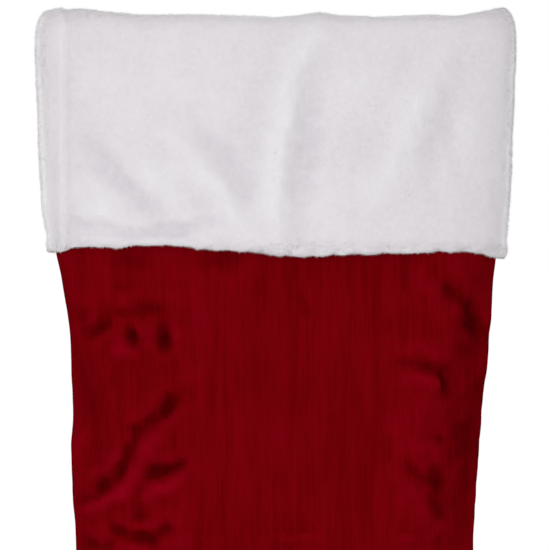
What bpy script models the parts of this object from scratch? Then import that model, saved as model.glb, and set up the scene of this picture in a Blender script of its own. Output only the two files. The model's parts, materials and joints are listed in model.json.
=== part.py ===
"""Hanging stocking: a lined velvet bag in the shape of a sock, with a plush cuff folded over its rim.

A sewn loop on the back of the cuff folds down behind it and lifts up to hang the stocking.
The row's origin is the middle of the fold line of that loop. +X points to the toe, the front faces -Y.
"""

import math
from collections import namedtuple

import bmesh
import bpy
from mathutils import Vector

MM = 0.001

# The stocking's own frame has x = 0 on the middle of the cuff and z = 0 at the top of the rim.

# Cuff
CUFF_WIDTH = 200 * MM
CUFF_THICKNESS = 5.9 * MM
CUFF_CLEARANCE = 0.4 * MM
HEM_DROP = 98.5 * MM
HEM_WAVE = 1.8 * MM
HEM_WAVE_LENGTH = 138 * MM
HEM_LOWEST_X = 14 * MM
TURN_IN_DEPTH = 30 * MM
TURN_IN_THICKNESS = 2.5 * MM
LAP_RISE = 1.2 * MM
LAP_ANGLE = math.radians(20)
TAPER_ALLOWANCE = 0.4 * MM
# Outer face of the cuff, in millimetres: how far it lies inside the full thickness, and its height
# above the hem for the rolled hem, or below the rim for the rest.
HEM_ROLL = ((1.3, 0), (0.2, 2.5), (0.4, 5), (1.3, 7.5))
CUFF_FACE = ((0.7, -70), (0, -40), (0, -14), (1.3, -4.5))
RIM_STITCH_RISE = 4 * MM

# Leg under the cuff, where it is a straight elliptical tube
MOUTH_Z = -5 * MM
MOUTH_HALF_DEPTH = 17 * MM
CUFF_END_Z = -100 * MM
TUBE_ROWS = 4

# Leg and foot below the cuff: back edge (x, z), front edge (x, z), half depth, all in millimetres.
STATIONS = (
    (-91, -100, 91, -100, 22),
    (-85, -132, 88, -132, 24),
    (-84, -180, 84, -180, 25),
    (-82, -235, 81, -235, 25),
    (-80, -298, 78, -292, 25),
    (-84, -358, 79, -334, 26),
    (-92, -412, 86, -360, 27),
    (-88, -454, 97, -376, 27),
    (-64, -483, 108, -385, 27),
    (-12, -492, 117, -389, 27),
    (50, -496, 124, -391, 27),
    (112, -498, 130, -392, 26),
)
STEPS_BETWEEN_STATIONS = 2
TOE_LENGTH = 60 * MM
TOE_STEPS = 5

# Layers of the bag, as offsets from the outer face of the velvet
VELVET = 1.8 * MM
LINING = 0.8 * MM
LAYER_GAP = 0.3 * MM
SEAM_HALF_GAP = 0.65 * MM
LINING_OUTSIDE = -(VELVET + LAYER_GAP)
LINING_INSIDE = LINING_OUTSIDE - LINING
TURN_IN_OUTSIDE = LINING_INSIDE - LAYER_GAP
TURN_IN_INSIDE = TURN_IN_OUTSIDE - TURN_IN_THICKNESS

# Every layer round the mouth uses the same angles, so that the layers nest
RING_STEPS = 24
HALF_STEPS = RING_STEPS // 2
THREAD_RADIUS = 0.35 * MM
THREAD_GAP = 0.3 * MM

# Hanging loop: a flattened tube of cloth. Its frame has x along the fold line, z = 0 at that line.
FOLD_X = -72 * MM
FOLD_Z = -3 * MM
STRAP_WIDTH = 5.5 * MM
STRAP_THICKNESS = 3 * MM
FOLD_HALF_GAP = 0.8 * MM
FOLD_CLEARANCE = 0.4 * MM
TAB_LENGTH = 21 * MM
TAB_TO_CUFF = 0.6 * MM
EYE_HALF_WIDTH = 7 * MM
EYE_TOP = -15 * MM
EYE_WIDEST = -47 * MM
EYE_FLAT_HALF = 3 * MM
EYE_RIM = 5 * MM
EYE_SIDE_STEPS = 6
EYE_CORNER_STEPS = 4
NECK_END = -14 * MM
STRAP_EDGE = 0.6 * MM
BARTACK_PASSES = 7
BARTACK_HALF_WIDTH = 3.8 * MM
BARTACK_TOP = -6 * MM
BARTACK_PITCH = 1.3 * MM

Section = namedtuple("Section", "centre across half_width half_depth")


def clear_scene():
    for item in list(bpy.data.objects):
        bpy.data.objects.remove(item, do_unlink=True)


def material(name, colour, roughness):
    made = bpy.data.materials.new(name)
    made.use_nodes = True
    shader = made.node_tree.nodes["Principled BSDF"]
    shader.inputs["Base Color"].default_value = (*colour, 1)
    shader.inputs["Roughness"].default_value = roughness
    shader.inputs["Metallic"].default_value = 0
    return made


def empty(name, location, turn=0):
    made = bpy.data.objects.new(name, None)
    made.location = location
    made.rotation_euler.z = turn
    bpy.context.scene.collection.objects.link(made)
    return made


def add_object(name, data, finish, parent):
    made = bpy.data.objects.new(name, data)
    data.materials.append(finish)
    made.parent = parent
    bpy.context.scene.collection.objects.link(made)
    return made


def add_mesh(name, work, finish, parent):
    """Makes a smooth-shaded object of the closed shape in work."""
    bmesh.ops.remove_doubles(work, verts=work.verts, dist=0.001 * MM)
    bmesh.ops.recalc_face_normals(work, faces=work.faces)
    mesh = bpy.data.meshes.new(name)
    work.to_mesh(mesh)
    work.free()
    mesh.shade_smooth()
    mesh.set_sharp_from_angle(angle=math.radians(50))
    return add_object(name, mesh, finish, parent)


def thread(name, points, finish, parent, closed=False):
    """One line of sewing thread through the points, as a round tube."""
    curve = bpy.data.curves.new(name, "CURVE")
    curve.dimensions = "3D"
    curve.bevel_depth = THREAD_RADIUS
    curve.bevel_resolution = 1
    curve.use_fill_caps = not closed
    line = curve.splines.new("POLY")
    line.points.add(len(points) - 1)
    for place, point in zip(line.points, points):
        place.co = (*point, 1)
    line.use_cyclic_u = closed
    return add_object(name, curve, finish, parent)


def smooth_rows(rows, steps):
    """Rows of numbers on Catmull-Rom curves through the given rows, with steps to each stretch."""
    padded = [rows[0], *rows, rows[-1]]
    found = []
    for before, first, second, after in zip(padded, padded[1:], padded[2:], padded[3:]):
        for step in range(steps):
            t = step / steps
            weights = (
                (-t + 2 * t**2 - t**3) / 2,
                (2 - 5 * t**2 + 3 * t**3) / 2,
                (t + 4 * t**2 - 3 * t**3) / 2,
                (-(t**2) + t**3) / 2,
            )
            group = zip(before, first, second, after)
            found.append([sum(w * v for w, v in zip(weights, values)) for values in group])
    found.append(list(rows[-1]))
    return found


def mouth_half_width():
    return CUFF_WIDTH / 2 - CUFF_THICKNESS + TAPER_ALLOWANCE


def tube_size(z):
    """Half width and half depth of the leg's outer face under the cuff, which both run straight."""
    share = (z - MOUTH_Z) / (CUFF_END_Z - MOUTH_Z)
    end_half_width = STATIONS[0][2] * MM
    end_half_depth = STATIONS[0][4] * MM
    half_width = mouth_half_width() + share * (end_half_width - mouth_half_width())
    half_depth = MOUTH_HALF_DEPTH + share * (end_half_depth - MOUTH_HALF_DEPTH)
    return half_width, half_depth


def tube_heights():
    """Heights of the rows under the cuff, which the bag and the inside of the cuff share."""
    return [MOUTH_Z + row / TUBE_ROWS * (CUFF_END_Z - MOUTH_Z) for row in range(TUBE_ROWS)]


def bag_sections(offset):
    """Sections of one layer of the bag from the mouth to the tip of the toe."""
    found = []
    for z in tube_heights():
        half_width, half_depth = tube_size(z)
        centre = Vector((0, 0, z))
        across = Vector((1, 0, 0))
        found.append(Section(centre, across, half_width + offset, half_depth + offset))
    for back_x, back_z, front_x, front_z, depth in smooth_rows(STATIONS, STEPS_BETWEEN_STATIONS):
        back = Vector((back_x, 0, back_z)) * MM
        front = Vector((front_x, 0, front_z)) * MM
        half = (front - back) / 2
        centre = (front + back) / 2
        found.append(Section(centre, half.normalized(), half.length + offset, depth * MM + offset))
    # The toe is half an ellipsoid on the last station.
    ball = found[-1]
    forward = Vector((ball.across.z, 0, -ball.across.x)) * (TOE_LENGTH + offset)
    for step in range(1, TOE_STEPS + 1):
        angle = math.pi / 2 * step / TOE_STEPS
        centre = ball.centre + forward * math.sin(angle)
        shrink = max(0, math.cos(angle))
        found.append(Section(centre, ball.across, ball.half_width * shrink, ball.half_depth * shrink))
    return found


def half_ring(section, side):
    """Points of half a section from the back edge to the front edge, on the side -1 (front) or 1 (back)."""
    points = []
    for step in range(HALF_STEPS + 1):
        angle = math.pi * step / HALF_STEPS
        point = section.centre - section.across * section.half_width * math.cos(angle)
        point.y = side * section.half_depth * math.sin(angle)
        points.append(point)
    # The two edges are trimmed back along the ring to the seam's gap.
    trim = min(1, SEAM_HALF_GAP / max(abs(points[1].y), SEAM_HALF_GAP))
    for edge, beside in ((0, 1), (-1, -2)):
        points[edge] = points[edge].lerp(points[beside], trim)
    for point in points:
        point.y = side * max(SEAM_HALF_GAP, abs(point.y))
    return points


def bag_half(name, side, outside, inside, finish, parent):
    """One half of a layer of the bag: a closed shell between two offsets, open at the mouth."""
    work = bmesh.new()
    grids = []
    for offset in (outside, inside):
        rings = [half_ring(section, side) for section in bag_sections(offset)]
        grids.append([[work.verts.new(point) for point in ring] for ring in rings])
    outer, inner = grids
    for grid in grids:
        for upper, lower in zip(grid, grid[1:]):
            for step in range(HALF_STEPS):
                work.faces.new((upper[step], upper[step + 1], lower[step + 1], lower[step]))
    for row in range(len(outer) - 1):
        for edge in (0, HALF_STEPS):
            work.faces.new(
                (outer[row][edge], outer[row + 1][edge], inner[row + 1][edge], inner[row][edge])
            )
    for step in range(HALF_STEPS):
        work.faces.new((outer[0][step], outer[0][step + 1], inner[0][step + 1], inner[0][step]))
    return add_mesh(name, work, finish, parent)


def seam_line(offset):
    """The line of a seam: down the back edge, round the foot and up the front edge."""
    sections = bag_sections(offset)
    back = [section.centre - section.across * section.half_width for section in sections]
    front = [section.centre + section.across * section.half_width for section in sections[:-1]]
    return back + front[::-1]


def ring_point(offset, z, angle):
    """A point round the mouth at an offset from the leg's outer face. Angle 0 is the left end."""
    half_width, half_depth = tube_size(z)
    x = -(half_width + offset) * math.cos(angle)
    y = -(half_depth + offset) * math.sin(angle)
    return Vector((x, y, z))


def ring_angles():
    return [2 * math.pi * step / RING_STEPS for step in range(RING_STEPS)]


def hem_z(angle):
    x = -CUFF_WIDTH / 2 * math.cos(angle)
    return -HEM_DROP - HEM_WAVE * math.cos(2 * math.pi * (x - HEM_LOWEST_X) / HEM_WAVE_LENGTH)


def lap_rise(angle):
    """The raised strip at the left of the front, where the cuff's ends lap."""
    return LAP_RISE if angle < LAP_ANGLE else 0


def cuff_outside(hem):
    """Outer face of the cuff from its rolled hem to the rim: offsets from the leg and heights."""
    roll = [(CUFF_THICKNESS - inset * MM, hem + height * MM) for inset, height in HEM_ROLL]
    face = [(CUFF_THICKNESS - inset * MM, height * MM) for inset, height in CUFF_FACE]
    return roll + face


def cuff_profile(angle):
    """The cuff's closed cross-section: outer wall, fold over the rim, turn-in and the slot for the bag."""
    hem = hem_z(angle)
    slot_top = MOUTH_Z + CUFF_CLEARANCE
    rise = lap_rise(angle)
    outside = [(offset + rise, z) for offset, z in cuff_outside(hem)]
    fold = [
        (1.8 * MM, -1 * MM),
        (-1.1 * MM, 0),
        (-3.6 * MM, -1.2 * MM),
        (TURN_IN_INSIDE + 0.3 * MM, -4.5 * MM),
        (TURN_IN_INSIDE, -12 * MM),
        (TURN_IN_INSIDE, -TURN_IN_DEPTH),
    ]
    slot = [
        (TURN_IN_OUTSIDE, -TURN_IN_DEPTH),
        (TURN_IN_OUTSIDE, slot_top),
        (CUFF_CLEARANCE, slot_top),
    ]
    slot += [(CUFF_CLEARANCE, z) for z in tube_heights()[1:]]
    slot.append((CUFF_CLEARANCE, hem))
    return outside + fold + slot


def cuff_band(finish, parent):
    work = bmesh.new()
    rings = []
    for angle in ring_angles():
        rings.append([work.verts.new(ring_point(d, z, angle)) for d, z in cuff_profile(angle)])
    for first, second in zip(rings, rings[1:] + rings[:1]):
        for step in range(len(first)):
            after = (step + 1) % len(first)
            work.faces.new((first[step], first[after], second[after], second[step]))
    return add_mesh("cuff_band", work, finish, parent)


def hem_thread(finish, parent):
    """Stitches in the groove above the rolled hem."""
    points = []
    for angle in ring_angles():
        offset, z = cuff_outside(hem_z(angle))[len(HEM_ROLL) - 1]
        offset += lap_rise(angle) + THREAD_GAP + THREAD_RADIUS
        points.append(ring_point(offset, z, angle))
    return thread("hem_thread", points, finish, parent, closed=True)


def lap_seam_thread(finish, parent):
    """Stitches down the inner edge of the cuff's lapped seam."""
    angle = 2 * (2 * math.pi / RING_STEPS)
    lift = 1.4 * (THREAD_GAP + THREAD_RADIUS)
    points = []
    for offset, z in cuff_outside(hem_z(angle))[len(HEM_ROLL) :]:
        points.append(ring_point(offset + lift, z, angle))
    return thread("lap_seam_thread", points, finish, parent)


def rim_thread(finish, parent):
    """Stitches round the inside of the mouth, near the end of the turn-in."""
    offset = TURN_IN_INSIDE - THREAD_GAP - THREAD_RADIUS
    z = RIM_STITCH_RISE - TURN_IN_DEPTH
    points = [ring_point(offset, z, angle) for angle in ring_angles()]
    return thread("rim_thread", points, finish, parent, closed=True)


def fold_place():
    """Middle of the loop's fold line in the stocking's frame, and the turn of that line about Z."""
    low = FOLD_Z - FOLD_CLEARANCE - TAB_LENGTH
    half_width, half_depth = tube_size(low)
    half_width += CUFF_THICKNESS
    half_depth += CUFF_THICKNESS
    y = half_depth * math.sqrt(1 - (FOLD_X / half_width) ** 2)
    outward = Vector((FOLD_X / half_width**2, y / half_depth**2, 0)).normalized()
    reach = TAB_TO_CUFF + STRAP_THICKNESS + FOLD_HALF_GAP
    return Vector((FOLD_X, y, FOLD_Z)) + outward * reach, math.atan2(-outward.x, outward.y)


def eye_outline():
    """Right half of the loop, from the top to the bottom: (inner x, inner z, outer x, outer z)."""
    neck = STRAP_WIDTH
    spread = EYE_HALF_WIDTH + EYE_RIM - neck
    rows = [(0, EYE_TOP, 0, -FOLD_CLEARANCE), (0.4 * MM, EYE_TOP - MM, neck, -FOLD_CLEARANCE)]
    for step in range(1, EYE_SIDE_STEPS + 1):
        share = step / EYE_SIDE_STEPS
        swing = math.sin(math.pi / 2 * share)
        inner_z = EYE_TOP + share * (EYE_WIDEST - EYE_TOP)
        outer_z = NECK_END + share * (EYE_WIDEST - NECK_END)
        rows.append((EYE_HALF_WIDTH * swing, inner_z, neck + spread * swing, outer_z))
    inner_radius = EYE_HALF_WIDTH - EYE_FLAT_HALF
    outer_radius = inner_radius + EYE_RIM
    for step in range(1, EYE_CORNER_STEPS + 1):
        angle = math.pi / 2 * step / EYE_CORNER_STEPS
        along = math.cos(angle)
        down = math.sin(angle)
        rows.append(
            (
                EYE_FLAT_HALF + inner_radius * along,
                EYE_WIDEST - inner_radius * down,
                EYE_FLAT_HALF + outer_radius * along,
                EYE_WIDEST - outer_radius * down,
            )
        )
    return rows


def soften_edges(item):
    bevel = item.modifiers.new("soft edges", "BEVEL")
    bevel.width = STRAP_EDGE
    bevel.segments = 2
    bevel.limit_method = "ANGLE"
    bevel.angle_limit = math.radians(50)


def hanging_loop(finish, parent):
    """The free part of the strap, hanging down behind the fold line, with its eye open along Y."""
    right = eye_outline()
    left = [(-near_x, near_z, -far_x, far_z) for near_x, near_z, far_x, far_z in right[:0:-1]]
    work = bmesh.new()
    rings = []
    for inner_x, inner_z, outer_x, outer_z in right + left:
        near, far = FOLD_HALF_GAP, FOLD_HALF_GAP + STRAP_THICKNESS
        corners = (
            (inner_x, near, inner_z),
            (outer_x, near, outer_z),
            (outer_x, far, outer_z),
            (inner_x, far, inner_z),
        )
        rings.append([work.verts.new(corner) for corner in corners])
    for first, second in zip(rings, rings[1:] + rings[:1]):
        for step in range(4):
            after = (step + 1) % 4
            work.faces.new((first[step], first[after], second[after], second[step]))
    made = add_mesh("hanging_loop", work, finish, parent)
    soften_edges(made)
    return made


def loop_tab(finish, parent):
    """The two sewn-down ends of the strap, side by side against the cuff."""
    work = bmesh.new()
    bmesh.ops.create_cube(work, size=1)
    size = Vector((2 * STRAP_WIDTH, STRAP_THICKNESS, TAB_LENGTH))
    middle = Vector((0, -FOLD_HALF_GAP - STRAP_THICKNESS / 2, -FOLD_CLEARANCE - TAB_LENGTH / 2))
    bmesh.ops.scale(work, vec=size, verts=work.verts)
    bmesh.ops.translate(work, vec=middle, verts=work.verts)
    made = add_mesh("loop_tab", work, finish, parent)
    soften_edges(made)
    return made


def loop_bartack(finish, parent):
    """A zigzag of thread across the tab."""
    y = -FOLD_HALF_GAP + THREAD_GAP + THREAD_RADIUS
    points = []
    for row in range(BARTACK_PASSES):
        side = 1 if row % 2 else -1
        points.append(Vector((side * BARTACK_HALF_WIDTH, y, BARTACK_TOP - row * BARTACK_PITCH)))
    return thread("loop_bartack", points, finish, parent)


def build():
    clear_scene()
    velvet = material("red velvet", (0.147, 0.0006, 0.003), 0.8)
    plush = material("white plush", (0.78, 0.75, 0.77), 0.9)
    lining = material("ivory lining", (0.72, 0.68, 0.6), 0.7)
    strap = material("white strap", (0.8, 0.78, 0.78), 0.75)
    white_thread = material("white thread", (0.8, 0.79, 0.78), 0.6)
    red_thread = material("red thread", (0.12, 0.002, 0.004), 0.6)

    fold, turn = fold_place()
    stocking = empty("stocking_frame", -fold)
    loop = empty("loop_frame", (0, 0, 0), turn)

    for name, side in (("front", -1), ("back", 1)):
        bag_half(f"{name}_panel", side, 0, -VELVET, velvet, stocking)
        bag_half(f"{name}_lining", side, LINING_OUTSIDE, LINING_INSIDE, lining, stocking)
    cuff_band(plush, stocking)
    thread("seam_thread", seam_line(-VELVET / 2), red_thread, stocking)
    thread("lining_seam_thread", seam_line(LINING_OUTSIDE - LINING / 2), white_thread, stocking)
    hem_thread(white_thread, stocking)
    lap_seam_thread(white_thread, stocking)
    rim_thread(white_thread, stocking)
    loop_tab(strap, loop)
    loop_bartack(white_thread, loop)
    hanging_loop(strap, loop)


build()
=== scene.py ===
"""Looks of the hanging stocking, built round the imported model: velvet leg and foot, plush cuff, linings,
stitches and the hanging loop.

Shapes are worked out in the stocking's own frame, in metres: x = 0 on the middle of the cuff, y = 0 on
the plane of the side seams, z = 0 at the top of the rim. FRAME_ORIGIN takes them to the row's frame.
"""

import json
import math

import bmesh
import bpy
import numpy as np
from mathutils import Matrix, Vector, noise


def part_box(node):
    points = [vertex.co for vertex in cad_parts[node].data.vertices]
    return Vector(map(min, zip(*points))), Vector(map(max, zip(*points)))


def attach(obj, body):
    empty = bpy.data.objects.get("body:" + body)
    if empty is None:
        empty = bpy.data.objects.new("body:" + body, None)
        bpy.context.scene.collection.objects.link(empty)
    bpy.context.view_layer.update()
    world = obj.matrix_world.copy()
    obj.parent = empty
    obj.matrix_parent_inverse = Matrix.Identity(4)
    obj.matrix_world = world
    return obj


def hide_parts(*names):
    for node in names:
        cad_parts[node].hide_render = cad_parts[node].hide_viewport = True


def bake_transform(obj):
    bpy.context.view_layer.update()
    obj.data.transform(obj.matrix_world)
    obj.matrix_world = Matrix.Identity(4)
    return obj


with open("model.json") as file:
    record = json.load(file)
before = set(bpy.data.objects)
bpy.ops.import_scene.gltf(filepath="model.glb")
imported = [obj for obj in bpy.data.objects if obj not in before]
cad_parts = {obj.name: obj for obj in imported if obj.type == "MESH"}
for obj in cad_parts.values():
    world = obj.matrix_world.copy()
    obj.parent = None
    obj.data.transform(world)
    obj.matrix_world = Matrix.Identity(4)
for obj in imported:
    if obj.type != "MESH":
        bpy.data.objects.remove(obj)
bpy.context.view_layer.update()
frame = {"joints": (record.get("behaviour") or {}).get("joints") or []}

MM = 0.001
FRONT, BACK = -1, 1

rim_low, rim_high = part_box("rim_thread")
cuff_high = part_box("cuff_band")[1]
FRAME_ORIGIN = np.array(((rim_low.x + rim_high.x) / 2, (rim_low.y + rim_high.y) / 2, cuff_high.z))

# Bag: edge on the heel side (x, z), edge on the toe side (x, z) and half depth, in millimetres, from
# below the cuff to the ball of the foot. The toe is half an ellipsoid on the last station.
STATIONS = (
    (-91.5, -100, 92.1, -100, 22),
    (-88.5, -115, 90.7, -115, 23),
    (-85.8, -132, 89.7, -132, 24),
    (-85.2, -148, 88.3, -148, 24.5),
    (-84.6, -165, 86.5, -165, 25),
    (-85.2, -181, 85.3, -181, 25),
    (-84.8, -198, 84.0, -198, 25),
    (-83, -223, 82.6, -223, 25),
    (-81.6, -258, 80.8, -255, 25),
    (-80.4, -298, 78.4, -292, 25),
    (-84, -358, 79, -334, 26),
    (-92, -412, 86, -360, 27),
    (-88, -454, 97, -376, 27),
    (-64, -483, 108, -385, 27),
    (-12, -492, 117, -389, 27),
    (50, -496, 124, -391, 27),
    (112, -498, 130, -392, 26),
)
TOE_LENGTH = 60 * MM
MOUTH_Z = -5 * MM
MOUTH_HALF_WIDTH = 94.5 * MM
MOUTH_HALF_DEPTH = 17 * MM
CUFF_END_Z = -100 * MM
CUFF_END_HALF_WIDTH = 91 * MM
CUFF_END_HALF_DEPTH = 22 * MM
SECTION_POWER = 2.3
LEG_HALF_SIZE = (85 * MM, 25 * MM)
SEAM_GROOVE = 1.5 * MM
SEAM_GROOVE_WIDTH = 1.5 * MM
SEAM_HALF_GAP = 0.12 * MM
VELVET_THICKNESS = 1.5 * MM
VELVET_SPACING, VELVET_COLUMNS = 1.8 * MM, 117
LINING_OFFSET = -2.3 * MM
LINING_THICKNESS = 0.6 * MM
LINING_SPACING, LINING_COLUMNS = 3.4 * MM, 61


# ---------- numbers and curves


def smooth_rows(rows, steps):
    """Catmull-Rom curves through rows of numbers, with steps to each stretch."""
    rows = np.asarray(rows, float)
    padded = np.vstack([rows[:1], rows, rows[-1:]])
    t = np.linspace(0, 1, steps, endpoint=False)[:, None]
    found = []
    for before, first, second, after in zip(padded, padded[1:], padded[2:], padded[3:]):
        curve = before * (-t + 2 * t**2 - t**3) + first * (2 - 5 * t**2 + 3 * t**3)
        found.append((curve + second * (t + 4 * t**2 - 3 * t**3) + after * (-(t**2) + t**3)) / 2)
    return np.vstack([*found, rows[-1:]])


def resample(rows, travel, count):
    """Rows at count even places along the running distance travel."""
    places = np.linspace(travel[0], travel[-1], count)
    return np.stack([np.interp(places, travel, column) for column in rows.T], axis=1)


def running_length(points):
    steps = np.linalg.norm(np.diff(points, axis=0), axis=1)
    return np.concatenate([[0], np.cumsum(steps)])


def unit(vectors):
    return vectors / np.linalg.norm(vectors, axis=-1, keepdims=True)


def smoothstep(low, high, values):
    t = np.clip((values - low) / (high - low), 0, 1)
    return t * t * (3 - 2 * t)


def bell(distance, width):
    return np.exp(-((distance / width) ** 2))


def ripple(points, size, seed):
    """Smooth noise from about -1 to 1 at points (..., 3), with lumps of about the given size.
    size may be three sizes, for lumps that are longer one way."""
    flat = (points / np.asarray(size)).reshape(-1, 3) + seed * 17.31
    return np.array([noise.noise(Vector(p)) for p in flat]).reshape(points.shape[:-1])


def along_line(line, x, z):
    """Distance in the XZ plane from each place to a line of points (x, z) in millimetres, and how far
    along the line it is nearest, from 0 to 1."""
    line = np.asarray(line, float) * MM
    travel = running_length(line)
    best = np.full(x.shape, np.inf)
    share = np.zeros(x.shape)
    for start, end, before in zip(line, line[1:], travel):
        along = end - start
        length = math.hypot(*along)
        t = np.clip(((x - start[0]) * along[0] + (z - start[1]) * along[1]) / length**2, 0, 1)
        gap = np.hypot(x - start[0] - t * along[0], z - start[1] - t * along[1])
        share = np.where(gap < best, (before + t * length) / travel[-1], share)
        best = np.minimum(best, gap)
    return best, share


FOLD_END = 0.45  # a fold's height at its ends, as a share of its height in the middle
BANK_HEIGHT, BANK_PLACE, BANK_WIDTH = 0.28, 2.1, 1.1  # as shares of the fold's height and half width
WIDE_BEND, CLOSE_BEND = 1.5 * MM, 0.9 * MM


def flat_places(x, z):
    return np.stack([x, np.zeros_like(x), z], axis=-1)


def bend(places, seed):
    """How far noise moves folds aside, in wide and in close turns."""
    return WIDE_BEND * ripple(places, 11 * MM, seed) + CLOSE_BEND * ripple(places, 4 * MM, seed + 2)


def strokes(folds, x, z, wildness=1.0):
    """Sum of folds: each is (height, half width, points), a soft ridge or valley along its line with a
    low bank beside it. Noise bends the folds and, by wildness, varies their height and width."""
    places = flat_places(x, z)
    bent_x, bent_z = x + bend(places, 61), z + bend(places, 67)
    strength = 1 + wildness * 0.7 * (ripple(places, 8 * MM, 71) + ripple(places, 4.5 * MM, 73))
    stretch = 1 + wildness * 0.55 * ripple(places, 7 * MM, 79)
    total = np.zeros(x.shape)
    for height, half_width, line in folds:
        gap, share = along_line(line, bent_x, bent_z)
        gap = gap * stretch / (half_width * MM)
        fade = FOLD_END + (1 - FOLD_END) * np.sin(math.pi * share)
        shape = bell(gap, 1) - BANK_HEIGHT * bell(gap - BANK_PLACE, BANK_WIDTH)
        total += height * MM * shape * fade * strength
    return total


# ---------- meshes


def numbered(grid):
    """The number of each point of a grid of points."""
    return np.arange(grid.shape[0] * grid.shape[1]).reshape(grid.shape[:2])


def grid_faces(index, wrap_rows=False, wrap_columns=False):
    """Quads over a grid of point numbers."""
    if wrap_rows:
        index = np.vstack([index, index[:1]])
    if wrap_columns:
        index = np.hstack([index, index[:, :1]])
    a, b = index[:-1, :-1], index[:-1, 1:]
    c, d = index[1:, 1:], index[1:, :-1]
    return np.stack([a, b, c, d], axis=-1).reshape(-1, 4)


def tube_faces(index, first, last):
    """Faces of a tube of rings, with its ends closed round the points first and last."""
    faces = grid_faces(index, wrap_columns=True).tolist()
    for here, after in zip(range(index.shape[1]), [*range(1, index.shape[1]), 0]):
        faces.append([first, index[0, after], index[0, here]])
        faces.append([last, index[-1, here], index[-1, after]])
    return faces


def add_object(name, data):
    made = bpy.data.objects.new(name, data)
    bpy.context.scene.collection.objects.link(made)
    return made


def add_piece(name, points, faces, material, replaced=(), relief=None, body="stocking"):
    """A closed piece in the row's frame that rides on a body, if any is given, and stands for CAD nodes.
    relief is a value for each point that its material reads."""
    mesh = bpy.data.meshes.new(name)
    points = np.asarray(points).reshape(-1, 3) + FRAME_ORIGIN
    faces = faces.tolist() if isinstance(faces, np.ndarray) else faces
    mesh.from_pydata(points.tolist(), [], faces)
    if relief is not None:
        attribute = mesh.attributes.new("relief", "FLOAT", "POINT")
        attribute.data.foreach_set("value", np.asarray(relief, np.float32).ravel())
    work = bmesh.new()
    work.from_mesh(mesh)
    bmesh.ops.remove_doubles(work, verts=work.verts, dist=0.01 * MM)
    bmesh.ops.recalc_face_normals(work, faces=work.faces)
    work.to_mesh(mesh)
    work.free()
    mesh.shade_smooth()
    mesh.materials.append(material)
    piece = add_object(name, mesh)
    if body:
        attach(piece, body)
    if replaced:
        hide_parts(*replaced)
    return piece


def normals_of(grid, outward):
    """Unit normals of a grid of points, turned to the side that outward points to."""
    found = np.cross(np.gradient(grid, axis=0), np.gradient(grid, axis=1))
    found /= np.maximum(np.linalg.norm(found, axis=-1, keepdims=True), 1e-12)
    return found * np.sign((found * outward).sum(-1, keepdims=True) + 1e-12)


# ---------- the bag's surface


def bag_edges(rows):
    """Points (x, z) of the bag's edge on the heel side and on the toe side, at each row."""
    half = rows[:, 2:4] * rows[:, 4:5]
    return rows[:, 0:2] - half, rows[:, 0:2] + half


def bag_rows(offset, spacing):
    """Rows of one layer of the bag from its mouth to the tip of the toe, evenly spaced: centre x and z,
    across x and z, half width and half depth."""
    share = np.linspace(0, 1, 60, endpoint=False)[:, None]
    mouth = np.array((-MOUTH_HALF_WIDTH, MOUTH_Z, MOUTH_HALF_WIDTH, MOUTH_Z, MOUTH_HALF_DEPTH))
    tube = mouth + share * (np.array(STATIONS[0], float) * MM - mouth)
    edges = np.vstack([tube, smooth_rows(STATIONS, 20) * MM])
    heel_side, toe_side, depth = edges[:, 0:2], edges[:, 2:4], edges[:, 4:5] + offset
    width = np.linalg.norm(toe_side - heel_side, axis=1, keepdims=True)
    across = (toe_side - heel_side) / width
    rows = np.hstack([(toe_side + heel_side) / 2, across, width / 2 + offset, depth])

    ball = rows[-1]
    angle = np.linspace(0, math.pi / 2, 61)[1:, None]
    forward = np.array((ball[3], -ball[2])) * (TOE_LENGTH + offset)
    middle = ball[0:2] + forward * np.sin(angle)
    across = np.repeat(ball[None, 2:4], len(angle), axis=0)
    toe = np.hstack([middle, across, ball[4:6] * np.clip(np.cos(angle), 0, 1)])
    rows = np.vstack([rows, toe])
    travel = np.maximum(*(running_length(edge) for edge in bag_edges(rows)))
    return resample(rows, travel, int(travel[-1] / spacing))


def half_section(columns):
    """Half section of the bag at unit size: across from -1 to 1 and out from 0 to 1, evenly along the
    curve that it has in the leg."""
    angle = np.linspace(0, math.pi, 721)
    across = -np.sign(np.cos(angle)) * np.abs(np.cos(angle)) ** (2 / SECTION_POWER)
    out = np.abs(np.sin(angle)) ** (2 / SECTION_POWER)
    section = np.stack([across, out], axis=1)
    return resample(section, running_length(section * LEG_HALF_SIZE), columns)


def bag_grid(side, offset, spacing, columns):
    """Plain surface of one half of a layer of the bag, the distance of each point from the seam, and its
    rows."""
    rows = bag_rows(offset, spacing)
    section = half_section(columns)
    across = rows[:, None, 4] * section[None, :, 0]
    x = rows[:, None, 0] + rows[:, None, 2] * across
    y = side * rows[:, None, 5] * section[None, :, 1]
    z = rows[:, None, 1] + rows[:, None, 3] * across
    grid = np.stack([x, y, z], axis=-1)
    steps = np.linalg.norm(np.diff(grid, axis=1), axis=-1)
    from_heel = np.concatenate([np.zeros((len(grid), 1)), np.cumsum(steps, axis=1)], axis=1)
    from_seam = np.minimum(from_heel, from_heel[:, -1:] - from_heel)
    return grid, from_seam, rows


def seam_shape(grid, from_seam, rows):
    """Draws the edges of a panel in, to the bottom of the groove at the seam."""
    draw = SEAM_GROOVE * bell(from_seam, SEAM_GROOVE_WIDTH)
    draw = np.minimum(draw, rows[:, None, 4] * 0.5)
    toward = -np.sign(np.linspace(-1, 1, grid.shape[1]))[None, :]
    shaped = grid.copy()
    shaped[..., 0] += toward * draw * rows[:, None, 2]
    shaped[..., 2] += toward * draw * rows[:, None, 3]
    side = np.sign(grid[:, 1:-1, 1].mean())
    shaped[..., 1] = side * np.maximum(np.abs(shaped[..., 1]), SEAM_HALF_GAP)
    return shaped


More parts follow.
